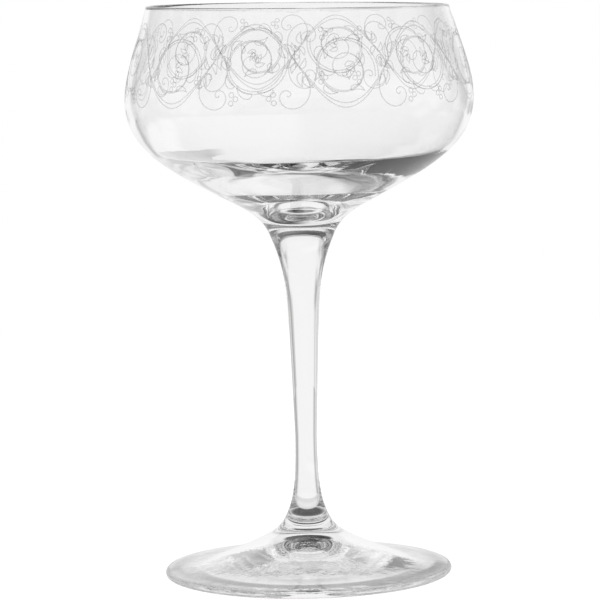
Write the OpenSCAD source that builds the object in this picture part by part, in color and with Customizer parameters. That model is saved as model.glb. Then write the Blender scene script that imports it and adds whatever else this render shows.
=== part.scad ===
// Nick and nora glass in clear glass: a shallow blown bowl, a slender solid stem and a wide round
// foot, fused end to end on two flat seams.
// The axis of the glass is Z, the table is at zero height, and all heights run upwards from it.
// Every outline is drawn as points [radius, height] and revolved about the axis.

/* [Bowl] */
// Height of the bowl, from its seam with the stem up to the top of the rim
bowl_h = 62; // [56:0.5:74]
// Greatest outside diameter of the bowl
bowl_d = 94; // [88:0.5:104]
// Height of the greatest diameter above the seam
widest_h = 37.6; // [32:0.2:42]
// Outside diameter of the rim
rim_d = 81.8; // [70:0.2:86]
// Thickness of the rounded, fire-polished rim
rim_t = 1.4; // [1:0.1:2]
// Lean of the wall just under the rim, in degrees from upright
rim_lean = 16; // [8:1:26]

/* [Bowl bottom] */
// Diameter at which the round shoulder runs out into the straight cone
hip_d = 52.8; // [46:0.2:60]
// Height of that diameter above the seam
hip_h = 13.9; // [12.4:0.1:18]
// Diameter at which the cone turns down towards the stem
root_d = 36.6; // [30:0.2:42]
// Height of that diameter above the seam
root_h = 9.6; // [8:0.1:11]

/* [Glass thickness] */
// Wall thickness at the greatest diameter
wall_t = 2; // [1.4:0.1:2.6]
// Wall thickness part way down the shoulder, where the inside runs out into a straight cone
shoulder_t = 2; // [1.5:0.1:2.8]
// Wall thickness low on the cone, where the inside turns down into its well
cone_t = 2.65; // [2:0.05:3.4]
// Diameter of the cupped well in the middle of the inside
well_d = 22.2; // [16:0.1:28]
// Depth of the well
well_depth = 4.05; // [3:0.05:5]
// Depth of solid glass between the bottom of the well and the seam
base_t = 6.3; // [5:0.1:7.4]

/* [Stem] */
// Length of the stem between its two seams
stem_h = 75; // [60:1:95]
// Diameter of the seam with the bowl
bowl_seam_d = 16.8; // [13:0.2:20]
// Flare of the sides at that seam, in degrees from upright
bowl_seam_flare = 23; // [12:1:32]
// Diameter of the neck, where the long taper begins to flare
neck_d = 8.4; // [7:0.1:10]
// Drop from the seam with the bowl to the neck
neck_drop = 20; // [14:0.5:28]
// Flare of the sides at the neck, in degrees from upright
neck_flare = 2.5; // [0:0.5:6]
// Diameter of the waist, the thinnest place
waist_d = 5.9; // [4.6:0.1:7.2]
// Height of the waist above the seam with the foot
waist_h = 20.5; // [14:0.5:28]
// Diameter of the seam with the foot
foot_seam_d = 10.7; // [8.4:0.1:13]
// Flare of the sides at that seam, in degrees from upright
foot_seam_flare = 23; // [12:1:32]

/* [Foot] */
// Diameter of the foot
foot_d = 78; // [66:0.5:90]
// Height of the foot, from the table to its seam with the stem
foot_h = 17; // [15:0.2:21]
// Diameter at which the flare of the foot opens into its shallow slope
throat_d = 20.4; // [17:0.2:24]
// Height of that diameter above the table
throat_h = 11.2; // [9:0.1:12.5]
// Slope of the foot there, in degrees below level
throat_slope = 30; // [22:1:40]
// Thickness of the rounded edge
foot_edge_t = 2.2; // [1.6:0.1:3.2]
// Slope of the upper face at the edge, in degrees below level
foot_edge_slope = 2; // [0:0.5:6]
// Width of the flat ring that stands on the table
ring_w = 4; // [2:0.1:8]
// Rise of the hollow underside, from the table to its centre
kick_h = 7.9; // [4:0.1:8.6]
// Slope at which the underside leaves the ring, in degrees above level
kick_slope = 8.5; // [3:0.5:12]

/* [Smoothness] */
// Straight steps in each curve of an outline
curve_steps = 14; // [8:1:24]
// Straight steps round the rim and round the edge of the foot
edge_steps = 10; // [6:1:20]

/* [Hidden] */
$fn = 180;

// Colour of the clear glass, and how solid it looks
glass_colour = [0.90, 0.94, 0.95];
glass_share = 0.55;

// Pull of the start and of the finish of each curve, as shares of the straight distance between them
root_pull_shares = [0.24, 0.62];
shoulder_pull_shares = [0.51, 0.32];
wall_pull_shares = [0.30, 0.30];
inside_shoulder_pull_shares = [0.42, 0.21];
well_pull_shares = [0.13, 0.42];
well_bottom_pull_shares = [0.52, 0.46];
waist_pull_shares = [0.23, 0.53];
taper_pull_shares = [0.05, 0.18];
neck_pull_shares = [0.42, 0.31];
throat_pull_shares = [0.39, 0.34];
slope_pull_shares = [0.46, 0.15];
kick_pull_shares = [0.59, 0.18];

// Where the inside's straight cone ends: its upper end faces this share of the outside's shoulder,
// counted from the hip, and its lower end this share of the outside's cone
cone_top_share = 0.35;
cone_foot_share = 0.35;

// Directions of travel along an outline, in degrees from straight up, positive outwards
up = 0;
outward = 90;
down = 180;
inward = 270;

// Heights of the seams and of the stations on the outline
foot_seam_z = foot_h;
bowl_seam_z = foot_seam_z + stem_h;
rim_z = bowl_seam_z + bowl_h;

// Stations of the bowl's outside, from the seam upwards
bowl_seam = [bowl_seam_d / 2, bowl_seam_z];
root = [root_d / 2, bowl_seam_z + root_h];
hip = [hip_d / 2, bowl_seam_z + hip_h];
widest = [bowl_d / 2, bowl_seam_z + widest_h];
cone_flare = atan2(hip.x - root.x, hip.y - root.y);

// The rim is half a circle across the wall, which leans inwards by rim_lean
bead_centre = [(rim_d - rim_t) / 2, rim_z - rim_t / 2];
bead_out = bead_centre + heading(outward - rim_lean) * rim_t / 2;
bead_in = bead_centre - heading(outward - rim_lean) * rim_t / 2;

// Stations of the bowl's inside, square across the glass from points of the outside
widest_in = widest - [wall_t, 0];
shoulder_out = curve_point(hip, cone_flare, widest, up, shoulder_pull_shares, cone_top_share);
shoulder_flare = curve_angle(hip, cone_flare, widest, up, shoulder_pull_shares, cone_top_share);
cone_top_in = shoulder_out - heading(shoulder_flare + outward) * shoulder_t;
cone_foot_in = hip + (root - hip) * cone_foot_share - heading(cone_flare + outward) * cone_t;
inside_flare = atan2(cone_top_in.x - cone_foot_in.x, cone_top_in.y - cone_foot_in.y);
well_in = [well_d / 2, bowl_seam_z + base_t + well_depth];
bottom_in = [0, bowl_seam_z + base_t];

// Stations of the stem and the foot
neck = [neck_d / 2, bowl_seam_z - neck_drop];
waist = [waist_d / 2, foot_seam_z + waist_h];
foot_seam = [foot_seam_d / 2, foot_seam_z];
throat = [throat_d / 2, throat_h];
foot_edge_centre = [(foot_d - foot_edge_t) / 2, foot_edge_t / 2];
foot_edge_top = foot_edge_centre + heading(foot_edge_slope) * foot_edge_t / 2;
ring_in = [foot_edge_centre.x - ring_w, 0];
kick_top = [0, kick_h];

// One unit of travel in the direction angle
function heading(angle) = [sin(angle), cos(angle)];

// The four points that steer a smooth curve, which leaves start in the direction start_angle
// and arrives at finish in the direction finish_angle
function steering(start, start_angle, finish, finish_angle, pull_shares) =
    let (reach = norm(finish - start))
    [start,
     start + heading(start_angle) * reach * pull_shares[0],
     finish - heading(finish_angle) * reach * pull_shares[1],
     finish];

// Point at a share s of the way along that curve
function curve_point(start, start_angle, finish, finish_angle, pull_shares, s) =
    let (q = steering(start, start_angle, finish, finish_angle, pull_shares))
    let (r = 1 - s)
    r * r * r * q[0] + 3 * r * r * s * q[1] + 3 * r * s * s * q[2] + s * s * s * q[3];

// Direction of that curve at a share s of the way along it
function curve_angle(start, start_angle, finish, finish_angle, pull_shares, s) =
    let (q = steering(start, start_angle, finish, finish_angle, pull_shares))
    let (r = 1 - s)
    let (v = r * r * (q[1] - q[0]) + 2 * r * s * (q[2] - q[1]) + s * s * (q[3] - q[2]))
    atan2(v.x, v.y);

// Points of the whole curve, in curve_steps straight steps
function curve(start, start_angle, finish, finish_angle, pull_shares) =
    [for (i = [0 : curve_steps])
        curve_point(start, start_angle, finish, finish_angle, pull_shares, i / curve_steps)];

// Points of an arc of the given radius, from one direction seen from its centre to another
function arc(centre, radius, from_angle, to_angle) =
    [for (i = [0 : edge_steps])
        centre + radius * heading(from_angle + (to_angle - from_angle) * i / edge_steps)];

// Outline with each point that repeats the one before it left out
function merged(points) =
    [for (i = [0 : len(points) - 1])
        if (i == 0 || points[i] != points[max(i - 1, 0)]) points[i]];

// Outside of the bowl, from the seam up to the rim
bowl_outside = concat(
    curve(bowl_seam, bowl_seam_flare, root, cone_flare, root_pull_shares),
    curve(hip, cone_flare, widest, up, shoulder_pull_shares),
    curve(widest, up, bead_out, -rim_lean, wall_pull_shares));

// Inside of the bowl, from the rim down to the middle of its bottom
bowl_inside = concat(
    curve(bead_in, down - rim_lean, widest_in, down, wall_pull_shares),
    curve(widest_in, down, cone_top_in, down + inside_flare, inside_shoulder_pull_shares),
    curve(cone_foot_in, down + inside_flare, well_in, down + inside_flare, well_pull_shares),
    curve(well_in, down + inside_flare, bottom_in, inward, well_bottom_pull_shares));

// Side of the stem, from the foot up to the bowl
stem_side = concat(
    curve(foot_seam, -foot_seam_flare, waist, up, waist_pull_shares),
    curve(waist, up, neck, neck_flare, taper_pull_shares),
    curve(neck, neck_flare, bowl_seam, bowl_seam_flare, neck_pull_shares));

// Upper face of the foot, from the stem out to the edge
foot_top = concat(
    curve(foot_seam, down - foot_seam_flare, throat, outward + throat_slope, throat_pull_shares),
    curve(throat, outward + throat_slope, foot_edge_top, outward + foot_edge_slope, slope_pull_shares));

// Solid of revolution whose outline is closed through the axis
module revolved(outline) {
    color(glass_colour, glass_share)
        rotate_extrude()
            polygon(merged(outline));
}

// Blown bowl with its rounded rim and the heavy bottom that takes the stem
module bowl() {
    revolved(concat(
        [[0, bowl_seam_z]],
        bowl_outside,
        arc(bead_centre, rim_t / 2, outward - rim_lean, -outward - rim_lean),
        bowl_inside));
}

// Drawn stem, thinnest at the waist and flared at both seams
module stem() {
    revolved(concat(
        [[0, foot_seam_z]],
        stem_side,
        [[0, bowl_seam_z]]));
}

// Foot with a round edge, standing on a flat ring round its hollow underside
module foot() {
    revolved(concat(
        [[0, foot_seam_z]],
        foot_top,
        arc(foot_edge_centre, foot_edge_t / 2, foot_edge_slope, down),
        curve(ring_in, inward + kick_slope, kick_top, inward, kick_pull_shares)));
}

bowl();
stem();
foot();
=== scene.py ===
"""Nick and nora glass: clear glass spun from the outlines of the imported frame, in a white studio."""

import math
from bisect import bisect_left

import bmesh
import bpy
from bpy.props import FloatProperty, FloatVectorProperty, IntProperty, PointerProperty
from mathutils import Matrix, Vector
from mathutils.geometry import interpolate_bezier


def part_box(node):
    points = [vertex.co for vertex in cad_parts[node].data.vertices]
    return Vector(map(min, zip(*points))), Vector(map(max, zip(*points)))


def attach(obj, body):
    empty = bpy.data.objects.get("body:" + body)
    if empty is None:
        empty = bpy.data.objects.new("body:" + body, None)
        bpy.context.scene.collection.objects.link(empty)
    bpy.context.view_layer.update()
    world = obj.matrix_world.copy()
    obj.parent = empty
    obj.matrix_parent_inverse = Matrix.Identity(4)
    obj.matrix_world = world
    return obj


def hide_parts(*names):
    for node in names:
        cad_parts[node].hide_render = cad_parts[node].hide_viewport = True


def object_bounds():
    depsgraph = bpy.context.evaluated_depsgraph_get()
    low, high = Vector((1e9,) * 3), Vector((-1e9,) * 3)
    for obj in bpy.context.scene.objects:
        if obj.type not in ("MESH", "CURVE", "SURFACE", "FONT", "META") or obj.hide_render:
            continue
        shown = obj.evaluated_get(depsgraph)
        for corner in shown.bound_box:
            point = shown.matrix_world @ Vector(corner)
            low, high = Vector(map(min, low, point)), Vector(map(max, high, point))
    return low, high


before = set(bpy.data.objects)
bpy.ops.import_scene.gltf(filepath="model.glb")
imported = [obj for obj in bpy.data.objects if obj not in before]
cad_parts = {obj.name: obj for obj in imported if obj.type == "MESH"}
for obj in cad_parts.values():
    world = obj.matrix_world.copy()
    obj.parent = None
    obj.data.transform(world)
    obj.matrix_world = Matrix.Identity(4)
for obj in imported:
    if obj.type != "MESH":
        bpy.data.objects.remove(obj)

bl_info = {
    "name": "Nick and Nora Glass",
    "version": (1, 0, 0),
    "blender": (4, 5, 0),
    "location": "3D View > Sidebar > Glass",
    "description": "Builds a stemmed cocktail glass round its packed frame",
    "category": "Object",
}

MM = 0.001
BODY = "root"
SAME_PLACE = 0.001 * MM
HALF_TURN = 180
SENSOR_WIDTH = 36
FLOOR_SIDES = 96

# Distance between points of the CAD pieces' rings that fold into one, and the bend in degrees that
# makes a corner of the outline rather than a point to leave out
FOLD_SLACK, FOLD_BEND = 0.02 * MM, 0.02
# How many times its neighbour's length makes a step of the outline a straight stretch
STRAIGHT = 2.5

# Widths and depths of the unevenness of the glass: waves all over, and finer ripples on the foot,
# which die away as the height runs between the two given ones
WAVE_WIDTH, WAVE_DEPTH = 9 * MM, 0.035 * MM
RIPPLE_WIDTH, RIPPLE_DEPTH = 2.2 * MM, 0.022 * MM
RIPPLE_EDGE = (14 * MM, 8 * MM)
FROST_GRAIN = 0.8 * MM

# Least steps in a scroll and in a leaf's side, how blunt a leaf is, and the share of its full width
# to which the main stem thins between its bends
SCROLL_STEPS, LEAF_STEPS, LEAF_BLUNTNESS, THIN_SHARE = 12, 7, 0.8, 0.35
# One scroll of the vine, as shares of its radius: its middle above the stem's own bend, its start and
# end, and how much further in its second line starts
SCROLL_LIFT, SCROLL_START, SCROLL_END, SCROLL_LINE_GAP = 0.10, 1.04, 0.13, 0.10
# Its first angle in degrees, its turns inwards, and the turns after which its two lines join
SCROLL_FACING, SCROLL_TURNS, JOINED_TURNS = 16, -1.95, -1.2
# The three petals at its end: reach, length, width, bend, and their angles in degrees
PETAL_REACH, PETAL_LENGTH, PETAL_WIDTH, PETAL_BEND = 0.06, 0.30, 0.13, 0.6
PETAL_ANGLES = (-80, -30, 20)
# Its leaves: share of the way in, lean outwards, length, width, bend
SCROLL_LEAVES = (
    (0.10, 0.7, 0.44, 0.17, -1.2), (0.155, 0.8, 0.50, 0.19, -1.3), (0.21, 0.9, 0.42, 0.17, -1.2),
    (0.33, 0.9, 0.40, 0.16, -1.2), (0.27, -0.8, 0.40, 0.16, 1.0), (0.42, -0.8, 0.40, 0.16, 1.1),
    (0.55, -0.8, 0.32, 0.14, 1.0))
# The tendril in a corner: its middle, its root, the radius at its end, its turns and how fast it closes
TENDRIL_MIDDLE, TENDRIL_ROOT = (-0.30, -0.84), (0.24, -0.38)
TENDRIL_END, TENDRIL_TURNS, TENDRIL_EASE = 0.04, -1.6, 2.6
# The corner's leaves: place along and across, direction, length, width, bend
CORNER_LEAVES = (
    (0.12, -0.20, -2.5, 0.42, 0.17, 0.9), (0.20, -0.30, -2.0, 0.40, 0.16, 1.0),
    (-0.02, 0.06, -2.9, 0.34, 0.14, 0.8))
BERRIES = ((-0.72, -0.82), (-0.84, -0.94), (-0.70, -1.06))
BERRY_RADIUS = 0.07
# How unlike each other the scrolls are, in turns, and how fast that changes from one to the next
LEAN, LEAN_PACE = 0.05, 2.4

# Light levels of the studio, where 1 is white. The room's run from the backdrop round to the camera,
# the painted dark floor patches' from their middle to their edge, and the painted shadow's on the floor
# under the foot from its middle outwards. The ceiling's and those of guided light are for the left and the
# right.
WHITE = 1.0
ROOM_LEVELS = (0.75, 0.36)
BACKDROP_LEVEL = 0.94
SOFTBOX_LEVEL = 0.80
CEILING_LEVELS = (0.03, 0.16)
FLOOR_LIFT = 0.74
ROOM_LIGHT = 0.42
MIRROR_LEVEL = 0.85
DARK_LEVELS = (0.00, 0.24)
GREY_LEVEL = 0.58
GUIDED_LEVELS = (0.04, 0.74)
NEAR_LEVEL = 0.88
UNDER_LEVELS = (0.10, 0.52)
UNDER_PALE_LEVEL = 0.84

# Turns back inside the glass that are called often, and those that guide light a long way in the wall
OFTEN, GUIDED = 3, 12

# Shares of the light that is left: in the room by its clutter; there after a turn or two back inside
# the glass, and after often, from the back and from the front; by how much of the clutter guided
# light shows; as painted shade on the floor's left and right; in the painted shadow over the standing
# ring; and in the painted shadow under the foot after often
CLUTTER_SHARES = (0.60, 1.35)
ONCE_SHARE = 0.55
OFTEN_SHARES = (1.25, 0.25)
GUIDED_CLUTTER = 0.5
FLOOR_SHARES = (0.40, 0.95)
RING_SHARE = 0.36
UNDER_SHARE = 0.80

# Soft edges in the studio, each from the value where a thing starts to the one where it is full.
# Sides are in degrees round from the backdrop, and heights and leans are parts of a unit direction.
CLUTTER_SCALE, CLUTTER_EDGE = 3.5, (0.38, 0.62)
OFTEN_SIDE = (75, 100)
SOFTBOX_SIDE, SOFTBOX_FOOT, SOFTBOX_HEAD = (120, 145), (0.08, 0.20), (0.60, 0.50)
BACKDROP_SIDE = (38, 24)
NEAR_SIDE = (85, 105)
GUIDED_LEAN = (0.0, 0.20)
CEILING_HEIGHT, CEILING_LEAN = (0.50, 0.62), (-0.35, 0.35)

# Soft edges of the painted light and shade on the floor, in metres to the right or the back of the glass, or
# from its middle.
# The near painted dark patch's are measured along two slanted directions too.
PATCH_WIDTH, PATCH_EDGE = 22 * MM, (0.40, 0.64)
PAINTED_DARK_ACROSS, PAINTED_DARK_ALONG = (1, -0.17, 0), (-1.5, 1, 0)
PAINTED_DARK_LEFT, PAINTED_DARK_RIGHT = (-0.062, -0.050), (0.09, 0.07)
PAINTED_DARK_FRONT, PAINTED_DARK_BACK, PAINTED_DARK_MIDDLE = (0.02, 0.04), (0.31, 0.24), (0.11, 0.09)
# The painted grey patch far left on the floor, which only the glass shows
GREY_LEFT, GREY_RIGHT = (-15, -12.5), (-3.5, -5.5)
GREY_FRONT = (0.29, 0.33)
FLOOR_LEAN, LEFT_SIDE = (-0.06, 0.06), (0.02, -0.02)
NEAR_FOOT = (0.070, 0.050)
# The painted shadow under the foot, and over the ring that it stands on
RING_INSIDE, RING_OUTSIDE = (0.026, 0.029), (0.040, 0.036)
UNDER_RADIUS = (0.008, 0.030)
UNDER_RAY = (0.020, 0.014)

# The same for how grazing a ray meets the floor, from 0 straight down to 1 along it
PAINTED_DARK_GRAZING = (0.46, 0.54)
LEAN_GRAZING, STEEP_GRAZING, LOW_GRAZING = (0.80, 0.70), (0.70, 0.64), (0.72, 0.80)
RING_GRAZING, PALE_GRAZING, DIRECT_GRAZING = (0.50, 0.70), (0.20, 0.65), (0.45, 0.25)

# The box of the CAD pieces, before anything is dressed
CAD_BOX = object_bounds()


def linear(code):
    """A colour written as sRGB hex, as linear red, green, blue and alpha."""
    shares = [int(code[i:i + 2], 16) / 255 for i in (1, 3, 5)]
    return [s / 12.92 if s <= 0.04045 else ((s + 0.055) / 1.055) ** 2.4 for s in shares] + [1.0]


def add_node(tree, kind, inputs=None, **settings):
    """A new shader node with its settings, and its inputs set to values or linked to other nodes.

    A node given as an input is linked from its first output."""
    node = tree.nodes.new("ShaderNode" + kind)
    for name, value in settings.items():
        setattr(node, name, value)
    for name, value in (inputs or {}).items():
        if isinstance(value, bpy.types.Node):
            value = value.outputs[0]
        if isinstance(value, bpy.types.NodeSocket):
            tree.links.new(value, node.inputs[name])
        else:
            node.inputs[name].default_value = value
    return node


def product(tree, *factors):
    """The product of some factors, each a value, a node or (quantity, start, end).

    The last is a soft edge, which rises from 0 where the quantity is at start to 1 where it is at end."""
    result = 1.0
    for factor in factors:
        if isinstance(factor, tuple):
            quantity, start, end = factor
            factor = add_node(tree, "MapRange", {
                "Value": quantity, "From Min": start, "From Max": end}, interpolation_type="SMOOTHSTEP")
        result = add_node(tree, "Math", {0: result, 1: factor}, operation="MULTIPLY")
    return result


def layered(tree, level, *layers):
    """A level with others laid over it in turn, each (level, *factors of the share that it covers)."""
    for top, *factors in layers:
        level = add_node(tree, "Mix", {"Factor": product(tree, *factors), "A": level, "B": top})
    return level


def new_material(name):
    """A material with an empty node tree."""
    material = bpy.data.materials.new(name)
    material.use_nodes = True
    material.node_tree.nodes.clear()
    return material


class GlassSettings(bpy.types.PropertyGroup):
    """Mesh and finish of the three fused pieces"""

    sides: IntProperty(
        name="Sides", description="Steps of each spin round the axis", default=192, min=48, max=256)
    cuts: IntProperty(
        name="Cuts", description="Smooth steps between two points of the outline", default=3, min=1, max=6)
    ior: FloatProperty(
        name="IOR", description="Refractive index of soda-lime crystal glass", default=1.52, min=1.4, max=1.7)
    rim_rise: FloatProperty(
        name="Rim rise", description="How much higher the hand-finished rim stands on the left",
        default=0.0011, unit="LENGTH")
    rim_reach: FloatProperty(
        name="Rim reach", description="Depth below the rim over which that dies away",
        default=0.008, unit="LENGTH")


class VineSettings(bpy.types.PropertyGroup):
    """Etched scrolling vine round the upper part of the bowl"""

    middle: FloatProperty(
        name="Middle", description="Height of the band's middle above the table",
        default=0.1385, unit="LENGTH")
    scrolls: IntProperty(
        name="Scrolls", description="Large scrolls round the bowl, an even number", default=12, min=4, max=24)
    radius: FloatProperty(
        name="Scroll radius", description="Outer radius of a large scroll", default=0.0090, unit="LENGTH")
    sway: FloatProperty(
        name="Sway", description="How far the main stem waves up and down", default=0.0104, unit="LENGTH")
    stem: FloatProperty(
        name="Stem", description="Widest distance between the two lines of the main stem",
        default=0.0012, unit="LENGTH")
    line: FloatProperty(
        name="Line", description="Width of an etched line", default=0.00032, unit="LENGTH")
    grain: FloatProperty(
        name="Grain", description="Thickness that stands for the roughened surface",
        default=0.00002, unit="LENGTH")
    step: FloatProperty(
        name="Step", description="Distance between two points of a line", default=0.0006, unit="LENGTH")


class StudioSettings(bpy.types.PropertyGroup):
    """Camera and surroundings"""

    camera_distance: FloatProperty(
        name="Camera distance", description="From the glass's axis, along the table",
        default=0.925, unit="LENGTH")
    camera_height: FloatProperty(
        name="Camera height", description="Above the table", default=0.17274, unit="LENGTH")
    aim_height: FloatProperty(
        name="Aim height", description="Height on the axis that the camera looks at",
        default=0.07481, unit="LENGTH")
    camera_roll: FloatProperty(
        name="Camera roll", description="Tilt of the camera about its own line of sight",
        default=math.radians(-1.17), subtype="ANGLE")
    lens: FloatProperty(
        name="Lens", description="Focal length in millimetres on a 36 mm sensor", default=205.86)
    shift: FloatProperty(
        name="Sideways shift", description="Shift of the picture, as a share of its width", default=-0.0054)
    floor_radius: FloatProperty(
        name="Floor radius", description="Size of the round floor", default=0.6, unit="LENGTH")
    floor_gap: FloatProperty(
        name="Floor gap", description="Air between the floor and the foot", default=0.0002, unit="LENGTH")
    bounces: IntProperty(
        name="Bounces", description="Times that light may turn inside the glass", default=96, min=12, max=128)


def folded_outline():
    """Points of the whole glass's outline, from the middle of the underside to the inside bottom.

    Every ring of the CAD pieces is folded onto the plane y = 0, where its points merge into one."""
    fold = bmesh.new()
    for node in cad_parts.values():
        fold.from_mesh(node.data)
    for vert in fold.verts:
        vert.co = (math.hypot(vert.co.x, vert.co.y), 0, vert.co.z)
    bmesh.ops.remove_doubles(fold, verts=fold.verts, dist=FOLD_SLACK)
    bend = math.radians(FOLD_BEND)
    bmesh.ops.dissolve_limit(fold, angle_limit=bend, verts=fold.verts, edges=fold.edges)
    ends = [v for v in fold.verts if len(v.link_edges) == 1]
    if len(ends) != 2 or any(len(v.link_edges) > 2 for v in fold.verts):
        raise RuntimeError("the CAD pieces don't fold into one outline")
    vert = min(ends, key=lambda v: v.co.z)
    points, edge = [vert.co.copy()], None
    while True:
        onward = [e for e in vert.link_edges if e is not edge]
        if not onward:
            break
        edge = onward[0]
        vert = edge.other_vert(vert)
        points.append(vert.co.copy())
    fold.free()
    return points


def tangent(before, after):
    """Direction of the outline at a point between two steps.

    A step over STRAIGHT times as long as its neighbour is a straight stretch, whose own direction is kept."""
    if before.length > STRAIGHT * after.length:
        return before.normalized()
    if after.length > STRAIGHT * before.length:
        return after.normalized()
    return (before.normalized() * after.length + after.normalized() * before.length).normalized()


def smoothed(points, cuts):
    """The outline with cuts smooth steps in place of each straight one."""
    steps = [b - a for a, b in zip(points, points[1:])]
    level = Vector((1, 0, 0))
    tangents = [level, *(tangent(a, b) for a, b in zip(steps, steps[1:])), -level]
    fine = [points[0]]
    for i, step in enumerate(steps):
        reach = step.length / 3
        curve = interpolate_bezier(
            points[i], points[i] + tangents[i] * reach,
            points[i + 1] - tangents[i + 1] * reach, points[i + 1], cuts + 1)
        fine += curve[1:]
    return fine


def uneven(place):
    """A place on the bowl moved with its hand-finished rim, which isn't quite level."""
    settings = bpy.context.scene.glass_settings
    rim = CAD_BOX[1]
    share = min(max((place.z - rim.z + settings.rim_reach) / settings.rim_reach, 0), 1)
    rise = settings.rim_rise * share * share * (rim.x - place.x) / (2 * rim.x)
    return place + Vector((0, 0, rise))


def spun(name, outline, sides, materials, seams):
    """A closed piece spun from its outline about the axis, with flat seams in the second material."""
    shape = bmesh.new()
    verts = [shape.verts.new(p) for p in outline]
    edges = [shape.edges.new(pair) for pair in zip(verts, verts[1:])]
    bmesh.ops.spin(
        shape, geom=verts + edges, cent=(0, 0, 0), axis=(0, 0, 1), angle=math.tau,
        steps=sides, use_merge=True, use_duplicate=False)
    bmesh.ops.remove_doubles(shape, verts=shape.verts, dist=SAME_PLACE)
    for vert in shape.verts:
        vert.co = uneven(vert.co)
    bmesh.ops.recalc_face_normals(shape, faces=shape.faces)
    for face in shape.faces:
        face.smooth = True
        for height in seams:
            if all(abs(v.co.z - height) < SAME_PLACE for v in face.verts):
                face.material_index = 1
                face.smooth = False
                for edge in face.edges:
                    edge.smooth = False
    mesh = bpy.data.meshes.new(name)
    shape.to_mesh(mesh)
    shape.free()
    for material in materials:
        mesh.materials.append(material)
    piece = bpy.data.objects.new(name, mesh)
    bpy.context.scene.collection.objects.link(piece)
    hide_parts(name.removeprefix("glass_"))
    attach(piece, BODY)
    return piece


def clear_glass():
    """Soda-lime crystal glass, blown and fire-polished: colourless, with a faint drawn waviness."""
    settings = bpy.context.scene.glass_settings
    material = bpy.data.materials.get("fire_polished_glass")
    if material:
        return material
    material = new_material("fire_polished_glass")
    tree = material.node_tree
    place = add_node(tree, "TexCoord").outputs["Object"]
    height = add_node(tree, "SeparateXYZ", {0: place}).outputs["Z"]
    drawn = add_node(tree, "TexNoise", {"Vector": place, "Scale": 1 / WAVE_WIDTH, "Detail": 1.0})
    pressed = add_node(tree, "TexNoise", {"Vector": place, "Scale": 1 / RIPPLE_WIDTH, "Detail": 2.0})
    waves = add_node(tree, "Bump", {"Height": drawn, "Distance": WAVE_DEPTH})
    ripples = add_node(tree, "Bump", {
        "Height": product(tree, pressed, (height, *RIPPLE_EDGE)), "Distance": RIPPLE_DEPTH, "Normal": waves})
    glass = add_node(tree, "BsdfPrincipled", {
        "Base Color": linear("#FFFFFF"),
        "Roughness": 0.0,
        "IOR": settings.ior,
        "Transmission Weight": 1.0,
        "Normal": ripples,
    })
    add_node(tree, "OutputMaterial", {"Surface": glass})
    return material


def etched_frost():
    """Glass roughened by etching: a grey frost that most of the light behind it gets through.

    Light passes the front and the back of each thin line, so the frost is twice as dense as Alpha says."""
    material = new_material("etched_frost")
    tree = material.node_tree
    place = add_node(tree, "TexCoord").outputs["Object"]
    grain = add_node(tree, "TexNoise", {"Vector": place, "Scale": 1 / FROST_GRAIN, "Detail": 2.0})
    # A Mix node's colours are its sockets 6 and 7, and their mix is its output 2
    tone = add_node(tree, "Mix", {0: grain, 6: linear("#9A9A9A"), 7: linear("#C4C4C4")}, data_type="RGBA")
    frost = add_node(tree, "BsdfPrincipled", {
        "Base Color": tone.outputs[2], "Roughness": 0.7, "Alpha": 0.15})
    add_node(tree, "OutputMaterial", {"Surface": frost})
    return material


def fused_seam():
    """The plane where two pieces are fused: nothing of it can be seen inside the glass."""
    material = bpy.data.materials.get("fused_seam")
    if material:
        return material
    material = new_material("fused_seam")
    tree = material.node_tree
    clear = add_node(tree, "BsdfPrincipled", {"Alpha": 0.0})
    add_node(tree, "OutputMaterial", {"Surface": clear})
    return material


def seam_heights():
    """Heights of the two fused seams, where the stem starts and ends."""
    low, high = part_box("stem")
    return low.z, high.z


def stretch(low, high):
    """Points of the smooth outline whose heights lie between two seams, in their order."""
    settings = bpy.context.scene.glass_settings
    fine = smoothed(folded_outline(), settings.cuts)
    return [p for p in fine if low - SAME_PLACE <= p.z <= high + SAME_PLACE]


class GLASS_OT_foot(bpy.types.Operator):
    """Spin the foot with its round edge and hollow underside"""

    bl_idname = "glass.foot"
    bl_label = "Foot"

    def execute(self, context):
        settings = context.scene.glass_settings
        seam = seam_heights()[0]
        outline = stretch(-1, seam) + [Vector((0, 0, seam))]
        spun("glass_foot", outline, settings.sides, [clear_glass(), fused_seam()], [seam])
        return {"FINISHED"}


class GLASS_OT_stem(bpy.types.Operator):
    """Spin the drawn stem between its two seams"""

    bl_idname = "glass.stem"
    bl_label = "Stem"

    def execute(self, context):
        settings = context.scene.glass_settings
        low, high = seam_heights()
        outline = [Vector((0, 0, low))] + stretch(low, high) + [Vector((0, 0, high))]
        spun("glass_stem", outline, settings.sides, [clear_glass(), fused_seam()], [low, high])
        return {"FINISHED"}


class GLASS_OT_bowl(bpy.types.Operator):
    """Spin the blown bowl with its rounded rim"""

    bl_idname = "glass.bowl"
    bl_label = "Bowl"

    def execute(self, context):
        settings = context.scene.glass_settings
        seam = seam_heights()[1]
        outline = [Vector((0, 0, seam))] + stretch(seam, 1)
        spun("glass_bowl", outline, settings.sides, [clear_glass(), fused_seam()], [seam])
        return {"FINISHED"}


def outer_wall(middle):
    """Points of the bowl's outside, their distances along the wall from the given height, and its radius."""
    outline = smoothed(folded_outline(), 1)
    top = max(range(len(outline)), key=lambda i: outline[i].z)
    points = [p for p in outline[:top] if p.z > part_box("stem")[1].z]
    runs = [0.0]
    for low, high in zip(points, points[1:]):
        runs.append(runs[-1] + (high - low).length)
    start = bisect_left(points, middle, key=lambda point: point.z)
    return {"points": points, "runs": [run - runs[start] for run in runs], "radius": points[start].x}


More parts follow.
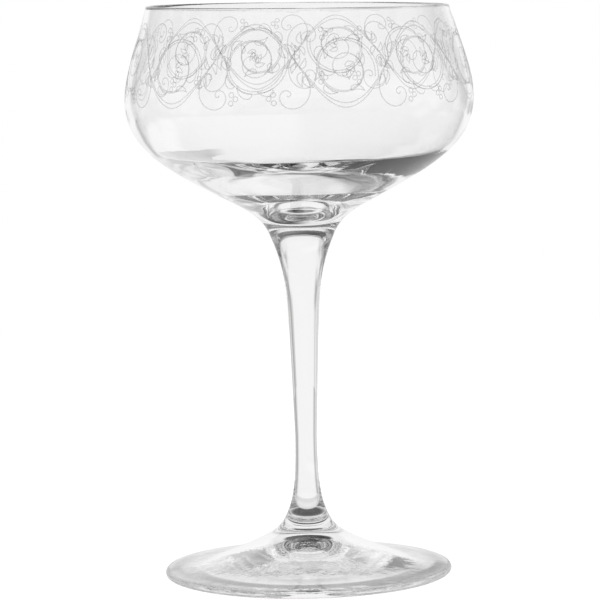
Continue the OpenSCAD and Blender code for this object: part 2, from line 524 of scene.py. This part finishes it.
def wrapped(wall, across, along, proud):
    """The place on the bowl of a point of the flat pattern, a little proud of the glass."""
    runs, points = wall["runs"], wall["points"]
    upper = min(max(bisect_left(runs, along), 1), len(runs) - 1)
    low, high = points[upper - 1], points[upper]
    share = (along - runs[upper - 1]) / (runs[upper] - runs[upper - 1])
    out = Vector((high.z - low.z, 0, low.x - high.x)).normalized()
    place = low.lerp(high, share) + out * proud
    return uneven(Matrix.Rotation(across / wall["radius"], 3, "Z") @ place)


def line_strip(shape, wall, points, closed, settings):
    """A thin strip along a line of the flat pattern, bridged between its two sides wrapped on the bowl.

    A closed line's ends are left to be merged."""
    count = len(points)
    girth = math.tau * wall["radius"]
    edges = []
    for side in (settings.line / 2, -settings.line / 2):
        verts = []
        for i in range(count + closed):
            x, y = points[i % count]
            ahead = points[(i + 1) % count] if closed or i + 1 < count else (x, y)
            behind = points[(i - 1) % count] if closed or i else (x, y)
            onward = math.remainder(ahead[0] - behind[0], girth)
            course = Vector((onward, ahead[1] - behind[1])).normalized() * side
            verts.append(shape.verts.new(wrapped(wall, x - course.y, y + course.x, settings.grain)))
        edges += [shape.edges.new(pair) for pair in zip(verts, verts[1:])]
    bmesh.ops.bridge_loops(shape, edges=edges)


def around(middle, reach, angle):
    """The point of the flat pattern at a distance and an angle from another one."""
    return middle[0] + reach * math.cos(angle), middle[1] + reach * math.sin(angle)


def swirl(centre, radius, end_radius, facing, turns, ease, step):
    """A scroll that winds in from radius to end_radius, faster at first where ease is over 1."""
    count = max(SCROLL_STEPS, int(abs(turns) * math.pi * (radius + end_radius) / step))
    points = []
    for i in range(count + 1):
        share = i / count
        reach = end_radius + (radius - end_radius) * (1 - share) ** ease
        points.append(around(centre, reach, facing + math.tau * turns * share))
    return points


def leaf(base, facing, length, width, bend, step):
    """Outline of a pointed leaf that leaves its base in one direction and bends as it goes."""
    count = max(LEAF_STEPS, int(length / step))
    edges = []
    for side in (1, -1):
        edge = []
        for i in range(count + 1):
            share = i / count
            angle = facing + bend * share
            half = side * width / 2 * math.sin(math.pi * share ** LEAF_BLUNTNESS)
            edge.append(around(around(base, length * share, angle), half, angle + math.pi / 2))
        edges.append(edge)
    return edges[0] + edges[1][-2:0:-1]


def stem_lines(settings, length):
    """The two lines of the main stem, which waves round the bowl and swells in each bend."""
    count = int(length / settings.step)
    lines = []
    for side in (-1, 1):
        points = []
        for i in range(count):
            turn = math.pi * settings.scrolls * i / count
            gap = side * settings.stem / 2 * (THIN_SHARE + (1 - THIN_SHARE) * math.sin(turn) ** 2)
            points.append((length * i / count, settings.sway * math.sin(turn) + gap))
        lines.append((points, True))
    return lines


def scroll_lines(settings, lean):
    """One scroll in a bend of the stem, round the bend's middle: it winds in to petals, with leaves on it."""
    size, step = settings.radius, settings.step
    centre = (0, size * SCROLL_LIFT)
    start = math.radians(SCROLL_FACING)
    turns, first, last = SCROLL_TURNS + lean, size * SCROLL_START, size * SCROLL_END
    joined = JOINED_TURNS / SCROLL_TURNS
    joint = first + (last - first) * joined
    lines = [
        (swirl(centre, first, last, start, turns, 1, step), False),
        (swirl(centre, first - size * SCROLL_LINE_GAP, joint, start, turns * joined, 1, step), False),
    ]
    for petal in PETAL_ANGLES:
        angle = start + math.tau * turns + math.radians(petal)
        base = around(centre, size * PETAL_REACH, angle)
        petal_size = (size * PETAL_LENGTH, size * PETAL_WIDTH)
        lines.append((leaf(base, angle, *petal_size, PETAL_BEND, step / 2), True))
    for share, outwards, length, width, bend in SCROLL_LEAVES:
        angle = start + math.tau * turns * share
        base = around(centre, first + (last - first) * share, angle)
        facing = angle - math.pi / 2 + outwards
        lines.append((leaf(base, facing, size * length, size * width, bend, step / 2), True))
    return lines


def corner_lines(settings, lean):
    """The growth in one corner beside the middle of a steep stretch of stem: tendril, leaves and berries."""
    size, step = settings.radius, settings.step
    (centre_x, centre_y), (root_x, root_y) = (
        [size * share for share in place] for place in (TENDRIL_MIDDLE, TENDRIL_ROOT))
    reach = math.hypot(root_x - centre_x, root_y - centre_y)
    facing = math.atan2(root_y - centre_y, root_x - centre_x)
    turns = TENDRIL_TURNS + lean
    tendril = swirl((centre_x, centre_y), reach, size * TENDRIL_END, facing, turns, TENDRIL_EASE, step / 2)
    lines = [(tendril, False)]
    for along, across, facing, length, width, bend in CORNER_LEAVES:
        base = (size * along, size * across)
        lines.append((leaf(base, facing, size * length, size * width, bend, step / 2), True))
    for along, across in BERRIES:
        radius = size * BERRY_RADIUS
        berry = swirl((size * along, size * across), radius, radius, 0, 1, 1, step / 4)
        lines.append((berry[:-1], True))
    return lines


def vine_lines(settings, length):
    """Lines of the flat pattern as (points, closed), a waving stem with a scroll in each of its bends."""
    pitch = length / settings.scrolls
    lines = stem_lines(settings, length)
    for i in range(settings.scrolls):
        up = 1 if i % 2 == 0 else -1
        lean = LEAN * math.sin(LEAN_PACE * i + 1)
        growth = [(line, (i + 0.5) * pitch, 1) for line in scroll_lines(settings, lean)]
        for hand in (1, -1):
            growth += [(line, (i + 1) * pitch, hand) for line in corner_lines(settings, lean)]
        for (points, closed), middle, hand in growth:
            lines.append(([(middle + hand * x, hand * up * y) for x, y in points], closed))
    return lines


class GLASS_OT_vine(bpy.types.Operator):
    """Etch a scrolling vine round the upper part of the bowl"""

    bl_idname = "glass.vine"
    bl_label = "Etched vine"

    def execute(self, context):
        settings = context.scene.vine_settings
        wall = outer_wall(settings.middle)
        length = math.tau * wall["radius"]
        shape = bmesh.new()
        for points, closed in vine_lines(settings, length):
            line_strip(shape, wall, points, closed, settings)
        bmesh.ops.remove_doubles(shape, verts=shape.verts, dist=SAME_PLACE)
        bmesh.ops.recalc_face_normals(shape, faces=shape.faces)
        bmesh.ops.solidify(shape, geom=shape.faces, thickness=settings.grain / 2)
        bmesh.ops.recalc_face_normals(shape, faces=shape.faces)
        mesh = bpy.data.meshes.new("vine_etching")
        shape.to_mesh(mesh)
        shape.free()
        mesh.materials.append(etched_frost())
        piece = bpy.data.objects.new("vine_etching", mesh)
        context.scene.collection.objects.link(piece)
        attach(piece, BODY)
        return {"FINISHED"}


def passed(path, least, most):
    """Factors that are 1 for a ray that has passed from least to most faces of the glass, else 0."""
    faces = path.outputs["Transmission Depth"]
    return (faces, least - 1, least), (faces, most + 1, most)


def straight(path, least, most):
    """Factors that are 1 for a ray that has passed so many faces and met no mirror, else 0."""
    return *passed(path, least, most), (path.outputs["Glossy Depth"], 1, 0)


def turned(path, least):
    """Factors that are 1 for a ray turned back inside the glass at least so many times, else 0."""
    return (path.outputs["Transmission Depth"], 0, 1), (path.outputs["Glossy Depth"], least - 1, least)


def bearing(tree, place):
    """The angle of a place or direction from straight behind the glass, in degrees to the right."""
    axes = add_node(tree, "SeparateXYZ", {0: place})
    angle = add_node(tree, "Math", {0: axes.outputs["X"], 1: axes.outputs["Y"]}, operation="ARCTAN2")
    return add_node(tree, "Math", {0: angle}, operation="DEGREES")


def surroundings(tree, path, toward):
    """Light level in a direction from the glass: a white backdrop opposite the camera, in a grey room.

    Light that the thin wall has guided a long way is dark from the left and pale from the right."""
    axes = add_node(tree, "SeparateXYZ", {0: toward})
    height = axes.outputs["Z"]
    side = add_node(tree, "Math", {0: bearing(tree, toward)}, operation="ABSOLUTE")
    room = layered(tree, ROOM_LEVELS[0], (ROOM_LEVELS[1], side, 1 / HALF_TURN))
    noise = add_node(tree, "TexNoise", {"Vector": toward, "Scale": CLUTTER_SCALE, "Detail": 3.0})
    clutter = layered(tree, CLUTTER_SHARES[0], (CLUTTER_SHARES[1], (noise, *CLUTTER_EDGE)))
    often = layered(tree, OFTEN_SHARES[0], (OFTEN_SHARES[1], (side, *OFTEN_SIDE)))
    two_faces = passed(path, 2, 2)
    share = layered(
        tree, 1.0, (ONCE_SHARE, *two_faces, *turned(path, 1)), (often, *two_faces, *turned(path, OFTEN)))
    guided = layered(tree, GUIDED_LEVELS[0], (GUIDED_LEVELS[1], (axes.outputs["X"], *GUIDED_LEAN)))
    ever_turned = product(tree, *turned(path, 1))
    return layered(
        tree, product(tree, room, clutter, share),
        (SOFTBOX_LEVEL, (side, *SOFTBOX_SIDE), (height, *SOFTBOX_FOOT), (height, *SOFTBOX_HEAD),
         (ever_turned, 1, 0)),
        (BACKDROP_LEVEL, (side, *BACKDROP_SIDE)),
        (product(tree, guided, layered(tree, 1.0, (clutter, GUIDED_CLUTTER))), *turned(path, GUIDED)),
        (NEAR_LEVEL, *straight(path, 2, 6), (side, *NEAR_SIDE)))


def studio_world():
    """The room round the glass. The camera, and rays straight through the bowl, see plain white."""
    world = bpy.data.worlds.new("studio_world")
    world.use_nodes = True
    tree = world.node_tree
    tree.nodes.clear()
    path = add_node(tree, "LightPath")
    toward = add_node(tree, "TexCoord").outputs["Generated"]
    axes = add_node(tree, "SeparateXYZ", {0: toward})
    ceiling = layered(tree, CEILING_LEVELS[0], (CEILING_LEVELS[1], (axes.outputs["X"], *CEILING_LEAN)))
    one_wall = product(tree, *straight(path, 2, 2))
    level = layered(
        tree, surroundings(tree, path, toward),
        (ceiling, (axes.outputs["Z"], *CEILING_HEIGHT), (one_wall, 1, 0)),
        (ROOM_LIGHT, path.outputs["Is Diffuse Ray"]),
        (WHITE, path.outputs["Is Camera Ray"]),
        (WHITE, *straight(path, 4, 4)))
    back = add_node(tree, "Background", {"Color": linear("#FFFFFF"), "Strength": level})
    add_node(tree, "OutputWorld", {"Surface": back})
    return world


def floor_under_foot(tree, path, radius, grazing):
    """Painted light level of the floor seen close under the foot: a painted shadow, dark in its middle and
    darker over the ring that the glass stands on.
    """
    middle = layered(tree, UNDER_LEVELS[0], (UNDER_LEVELS[1], (radius, *UNDER_RADIUS)))
    level = layered(tree, middle, (UNDER_PALE_LEVEL, (grazing, *PALE_GRAZING)))
    ring = (radius, *RING_INSIDE), (radius, *RING_OUTSIDE), (grazing, *RING_GRAZING)
    shares = layered(tree, 1.0, (RING_SHARE, *ring)), layered(tree, 1.0, (UNDER_SHARE, *turned(path, OFTEN)))
    return layered(
        tree, product(tree, level, *shares),
        (UNDER_PALE_LEVEL, *straight(path, 2, 4), (grazing, *DIRECT_GRAZING)))


def floor_in_glass(tree, path, place):
    """Painted light level of the floor as the glass shows it, with which the floor glows for rays from the
    glass.

    Straight through the bowl it is white, but for a painted dark patch near on the right and a painted grey
    one far left."""
    axes = add_node(tree, "SeparateXYZ", {0: place})
    right, back = axes.outputs["X"], axes.outputs["Y"]
    radius = add_node(tree, "VectorMath", {0: place}, operation="LENGTH").outputs["Value"]
    toward = add_node(tree, "VectorMath", {0: place}, operation="NORMALIZE")
    across, along = (
        add_node(tree, "VectorMath", {0: place, 1: direction}, operation="DOT_PRODUCT").outputs["Value"]
        for direction in (PAINTED_DARK_ACROSS, PAINTED_DARK_ALONG))
    grazing = add_node(tree, "LayerWeight").outputs["Facing"]
    two_faces = passed(path, 2, 2)

    # Painted shade: dark patches on the floor, which only the glass shows
    patches = add_node(tree, "TexNoise", {"Vector": place, "Scale": 1 / PATCH_WIDTH, "Detail": 3.0})
    dark = layered(tree, DARK_LEVELS[0], (DARK_LEVELS[1], (patches, *PATCH_EDGE)))
    # Steep rays see the near painted dark patch only close to the glass
    in_sight = add_node(tree, "Math", {
        0: product(tree, (grazing, *PAINTED_DARK_GRAZING)),
        1: product(tree, (back, *PAINTED_DARK_MIDDLE))}, operation="MAXIMUM")
    angle = bearing(tree, place)
    through_bowl = layered(
        tree, WHITE,
        (GREY_LEVEL, (angle, *GREY_LEFT), (angle, *GREY_RIGHT), (back, *GREY_FRONT)),
        (dark, (across, *PAINTED_DARK_LEFT), (right, *PAINTED_DARK_RIGHT), (along, *PAINTED_DARK_BACK), (back, *PAINTED_DARK_FRONT),
         in_sight))

    room = surroundings(tree, path, toward)
    # Painted shade: for rays turned back inside the glass, the floor is darker on its left
    lean = layered(tree, FLOOR_SHARES[0], (FLOOR_SHARES[1], (right, *FLOOR_LEAN)))
    after_turns = layered(
        tree, product(tree, room, layered(tree, 1.0, (lean, (grazing, *LEAN_GRAZING)))),
        (layered(tree, dark, (NEAR_LEVEL, *two_faces, (right, *LEFT_SIDE))), (grazing, *STEEP_GRAZING)))
    level = layered(
        tree, after_turns,
        (room, *straight(path, 2, 6)),
        (through_bowl, *straight(path, 4, 4)),
        (NEAR_LEVEL, (radius, *NEAR_FOOT), (grazing, *LOW_GRAZING), *two_faces),
        (MIRROR_LEVEL, path.outputs["Is Glossy Ray"], (path.outputs["Transmission Depth"], 1, 0)))
    under = floor_under_foot(tree, path, radius, grazing)
    return layered(tree, level, (under, (path.outputs["Ray Length"], *UNDER_RAY)))


def pale_floor():
    """White floor, on which the glass stands in its own soft shadow, and which the glass shows glowing with
    painted light and shade.
    """
    material = new_material("white_floor_painted_for_glass")
    tree = material.node_tree
    path = add_node(tree, "LightPath")
    place = add_node(tree, "TexCoord").outputs["Object"]
    # Painted light: rays from the glass see the floor glow with painted levels, among them painted dark
    # patches and a painted shadow under the foot
    painted_glass_view = add_node(tree, "Emission", {
        "Color": linear("#FFFFFF"), "Strength": floor_in_glass(tree, path, place)})
    matt = add_node(tree, "BsdfDiffuse", {"Color": linear("#F2F2F2")})
    lift = add_node(tree, "Emission", {
        "Color": linear("#FFFFFF"), "Strength": product(tree, path.outputs["Is Camera Ray"], FLOOR_LIFT)})
    plain = add_node(tree, "AddShader", {0: matt, 1: lift})
    in_glass = add_node(tree, "Math", {
        0: path.outputs["Is Glossy Ray"], 1: path.outputs["Is Transmission Ray"]}, operation="MAXIMUM")
    look = add_node(tree, "MixShader", {0: in_glass, 1: plain, 2: painted_glass_view})
    add_node(tree, "OutputMaterial", {"Surface": look})
    return material


def lay_floor(settings):
    """A round floor just under the foot."""
    shape = bmesh.new()
    bmesh.ops.create_circle(shape, cap_ends=True, segments=FLOOR_SIDES, radius=settings.floor_radius)
    mesh = bpy.data.meshes.new("floor")
    shape.to_mesh(mesh)
    shape.free()
    mesh.materials.append(pale_floor())
    floor = bpy.data.objects.new("floor", mesh)
    floor.location.z = -settings.floor_gap
    bpy.context.scene.collection.objects.link(floor)


class GLASS_OT_studio(bpy.types.Operator):
    """Set the pale floor, the light and the camera"""

    bl_idname = "glass.studio"
    bl_label = "Studio"

    def execute(self, context):
        scene = context.scene
        settings = scene.studio_settings
        scene.view_settings.view_transform = "Standard"
        scene.world = studio_world()
        lay_floor(settings)
        # Light runs round inside thick glass many times before it leaves
        scene.cycles.max_bounces = settings.bounces
        scene.cycles.glossy_bounces = settings.bounces
        scene.cycles.transmission_bounces = settings.bounces
        lens = bpy.data.cameras.new("camera")
        lens.lens = settings.lens
        lens.sensor_width = SENSOR_WIDTH
        lens.shift_x = settings.shift
        camera = bpy.data.objects.new("camera", lens)
        scene.collection.objects.link(camera)
        place = Vector((0, -settings.camera_distance, settings.camera_height))
        aim = Vector((0, 0, settings.aim_height)) - place
        turn = aim.to_track_quat("-Z", "Y").to_matrix().to_4x4()
        camera.matrix_world = Matrix.Translation(place) @ turn @ Matrix.Rotation(settings.camera_roll, 4, "Z")
        scene.camera = camera
        return {"FINISHED"}


class GLASS_PT_panel(bpy.types.Panel):
    """Lists the pieces and the studio"""

    bl_idname = "GLASS_PT_panel"
    bl_label = "Nick and Nora Glass"
    bl_space_type = "VIEW_3D"
    bl_region_type = "UI"
    bl_category = "Glass"

    def draw(self, context):
        for operator in OPERATORS:
            self.layout.operator(operator.bl_idname)


OPERATORS = [GLASS_OT_foot, GLASS_OT_stem, GLASS_OT_bowl, GLASS_OT_vine, GLASS_OT_studio]
CLASSES = [GlassSettings, VineSettings, StudioSettings, *OPERATORS, GLASS_PT_panel]


def register():
    for cls in CLASSES:
        bpy.utils.register_class(cls)
    bpy.types.Scene.glass_settings = PointerProperty(type=GlassSettings)
    bpy.types.Scene.vine_settings = PointerProperty(type=VineSettings)
    bpy.types.Scene.studio_settings = PointerProperty(type=StudioSettings)


def unregister():
    del bpy.types.Scene.studio_settings
    del bpy.types.Scene.vine_settings
    del bpy.types.Scene.glass_settings
    for cls in reversed(CLASSES):
        bpy.utils.unregister_class(cls)


def main():
    register()
    bpy.ops.glass.foot()
    bpy.ops.glass.stem()
    bpy.ops.glass.bowl()
    bpy.ops.glass.vine()
    bpy.ops.glass.studio()


if __name__ == "__main__":
    main()
